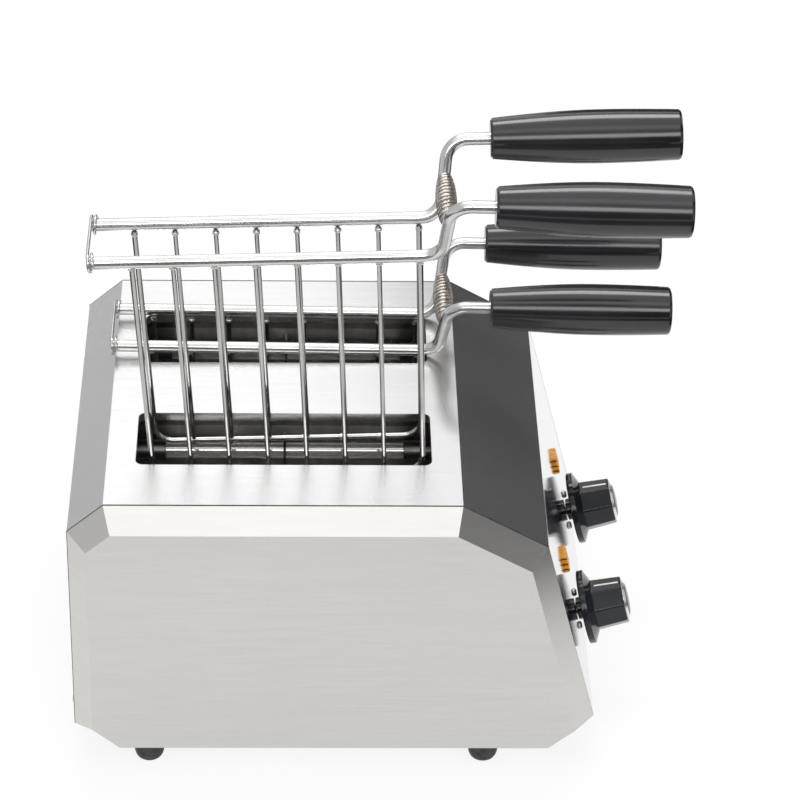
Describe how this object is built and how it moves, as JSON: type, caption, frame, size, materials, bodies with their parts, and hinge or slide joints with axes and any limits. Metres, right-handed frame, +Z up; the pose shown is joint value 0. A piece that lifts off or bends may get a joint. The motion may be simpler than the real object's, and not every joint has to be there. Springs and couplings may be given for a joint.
{
  "type": "sandwich maker",
  "caption": "Steel sandwich toaster with two top slots, timer knobs and amber lamps, and a pair of sprung wire sandwich tongs with black handles, one lifted",
  "frame": {"origin": "middle of the whole part's box, on the floor", "axes": "+Z up, front with the knobs towards -Y, left side towards -X"},
  "size_m": [0.3002, 0.4013, 0.422],
  "materials": {
    "brushed_housing": "fine lengthwise grain",
    "inner_sheet": "plain mill finish",
    "reflector_sheet": "bright rolled",
    "bright_steel": "polished",
    "spring_steel": "drawn wire",
    "screw_steel": "plated",
    "black_handle": "glossy black",
    "black_knob": "satin black",
    "knob_disc": "satin",
    "amber_lens": "clear amber",
    "inner_plastic": "moulded",
    "gland_plastic": "moulded",
    "foot_rubber": "matt",
    "quartz": "clear tube",
    "heater_wire": "oxidised",
    "ceramic": "unglazed ceramic"
  },
  "bodies": {
    "housing": {"top_cover": "brushed_housing", "left_side_panel": "brushed_housing", "right_side_panel": "brushed_housing", "base_pan": "inner_sheet", "front_left_foot": "foot_rubber", "front_right_foot": "foot_rubber", "rear_left_foot": "foot_rubber", "rear_right_foot": "foot_rubber", "foot_screws": "screw_steel", "casing_screws": "screw_steel", "front_bulkhead": "inner_sheet", "rear_bulkhead": "inner_sheet", "reflector_1": "reflector_sheet", "reflector_2": "reflector_sheet", "reflector_3": "reflector_sheet", "reflector_4": "reflector_sheet", "quartz_tubes_1": "quartz", "quartz_tubes_2": "quartz", "quartz_tubes_3": "quartz", "quartz_tubes_4": "quartz", "heating_coils_1": "heater_wire", "heating_coils_2": "heater_wire", "heating_coils_3": "heater_wire", "heating_coils_4": "heater_wire", "tube_holders": "ceramic", "tube_supports": "inner_sheet", "left_timer": "inner_plastic", "right_timer": "inner_plastic", "timer_screws": "screw_steel", "left_lamp": "amber_lens", "right_lamp": "amber_lens", "left_lamp_body": "inner_plastic", "right_lamp_body": "inner_plastic", "terminal_block": "inner_plastic", "cable_gland": "gland_plastic"},
    "tray": {"crumb_tray": "inner_sheet"},
    "left_knob_body": {"left_knob": "black_knob", "left_knob_cap": "knob_disc"},
    "right_knob_body": {"right_knob": "black_knob", "right_knob_cap": "knob_disc"},
    "left_tong_link_body": {"left_tong_link": "bright_steel"},
    "left_tong_right_half": {"left_tong_right_rod": "bright_steel", "left_tong_right_cage": "bright_steel", "left_tong_right_handle": "black_handle", "left_tong_spring": "spring_steel"},
    "left_tong_left_half": {"left_tong_left_rod": "bright_steel", "left_tong_left_cage": "bright_steel", "left_tong_left_handle": "black_handle"},
    "right_tong_link_body": {"right_tong_link": "bright_steel"},
    "right_tong_right_half": {"right_tong_right_rod": "bright_steel", "right_tong_right_cage": "bright_steel", "right_tong_right_handle": "black_handle", "right_tong_spring": "spring_steel"},
    "right_tong_left_half": {"right_tong_left_rod": "bright_steel", "right_tong_left_cage": "bright_steel", "right_tong_left_handle": "black_handle"}
  },
  "joints": [
    {"name": "tray_slide", "type": "slide", "parent": "housing", "child": "tray", "axis": [0, 1, 0], "range_m": [0, 0.2]},
    {"name": "left_knob_turn", "type": "hinge", "parent": "housing", "child": "left_knob_body", "pos_m": [-0.057, -0.1444, 0.05853], "axis": [0, 0.9685, -0.2491], "range_deg": [0, 300]},
    {"name": "right_knob_turn", "type": "hinge", "parent": "housing", "child": "right_knob_body", "pos_m": [0.057, -0.1444, 0.05853], "axis": [0, 0.9685, -0.2491], "range_deg": [0, 300]},
    {"name": "left_tong_lift", "type": "slide", "parent": "housing", "child": "left_tong_link_body", "axis": [0, 0.0316, 0.9995], "range_m": [-0.14257, 0.04]},
    {"name": "left_tong_tilt", "type": "hinge", "parent": "left_tong_link_body", "child": "left_tong_right_half", "pos_m": [-0.06275, 0.1724, 0.34845], "axis": [-1, 0, 0], "range_deg": [-2.55, 1.5]},
    {"name": "left_tong_squeeze", "type": "hinge", "parent": "left_tong_right_half", "child": "left_tong_left_half", "pos_m": [-0.08575, 0.1724, 0.34845], "axis": [0, 0.0314, 0.9995], "range_deg": [0, 6.5], "stiffness_Nm_per_rad": 8, "deforming": ["left_tong_spring"]},
    {"name": "right_tong_lift", "type": "slide", "parent": "housing", "child": "right_tong_link_body", "axis": [0, 0, 1], "range_m": [0, 0.18]},
    {"name": "right_tong_tilt", "type": "hinge", "parent": "right_tong_link_body", "child": "right_tong_right_half", "pos_m": [0.06275, 0.1679, 0.20595], "axis": [-1, 0, 0], "range_deg": [0, 3]},
    {"name": "right_tong_squeeze", "type": "hinge", "parent": "right_tong_right_half", "child": "right_tong_left_half", "pos_m": [0.03975, 0.1679, 0.20595], "axis": [0, -0.013, 0.9999], "range_deg": [0, 6.5], "stiffness_Nm_per_rad": 8, "deforming": ["right_tong_spring"]}
  ]
}
